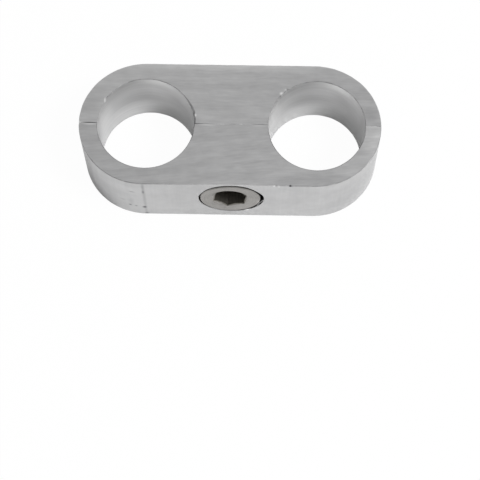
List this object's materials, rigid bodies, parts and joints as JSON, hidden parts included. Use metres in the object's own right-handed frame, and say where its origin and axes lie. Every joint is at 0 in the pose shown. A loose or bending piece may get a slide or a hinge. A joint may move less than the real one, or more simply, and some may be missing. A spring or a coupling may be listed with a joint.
{
  "type": "hydraulic tube clamp",
  "caption": "Split aluminium clamp block with rounded ends that holds a pair of parallel tubes, drawn together by a recessed socket head cap screw.",
  "frame": {"origin": "middle of the base, under the middle of the block, 0.2 mm to -X of the middle between the seats", "axes": "+Z along the tubes, X from one tube seat to the other, Y = 0 is the split plane and the screw head faces -Y"},
  "size_m": [0.0498, 0.0218, 0.013],
  "materials": {
    "rear_aluminium": "sawn and milled, bare",
    "front_aluminium": "sawn and milled, bare",
    "screw_steel": "turned, bright"
  },
  "bodies": {
    "rear_half": {"rear_half": "rear_aluminium"},
    "front_half": {"front_half": "front_aluminium"},
    "clamp_screw": {"clamp_screw": "screw_steel"}
  },
  "joints": [
    {"name": "jaw_slide", "type": "slide", "parent": "rear_half", "child": "front_half", "axis": [0, -1, 0], "range_m": [0, 0.006]},
    {"name": "screw_turn", "type": "hinge", "parent": "front_half", "child": "clamp_screw", "pos_m": [0.0002, 0, 0.007], "axis": [0, -1, 0], "range_deg": [0, 2160]}
  ],
  "couplings": [
    {"joint": "screw_turn", "follows": "jaw_slide", "rad_per_m": 6283.2}
  ]
}
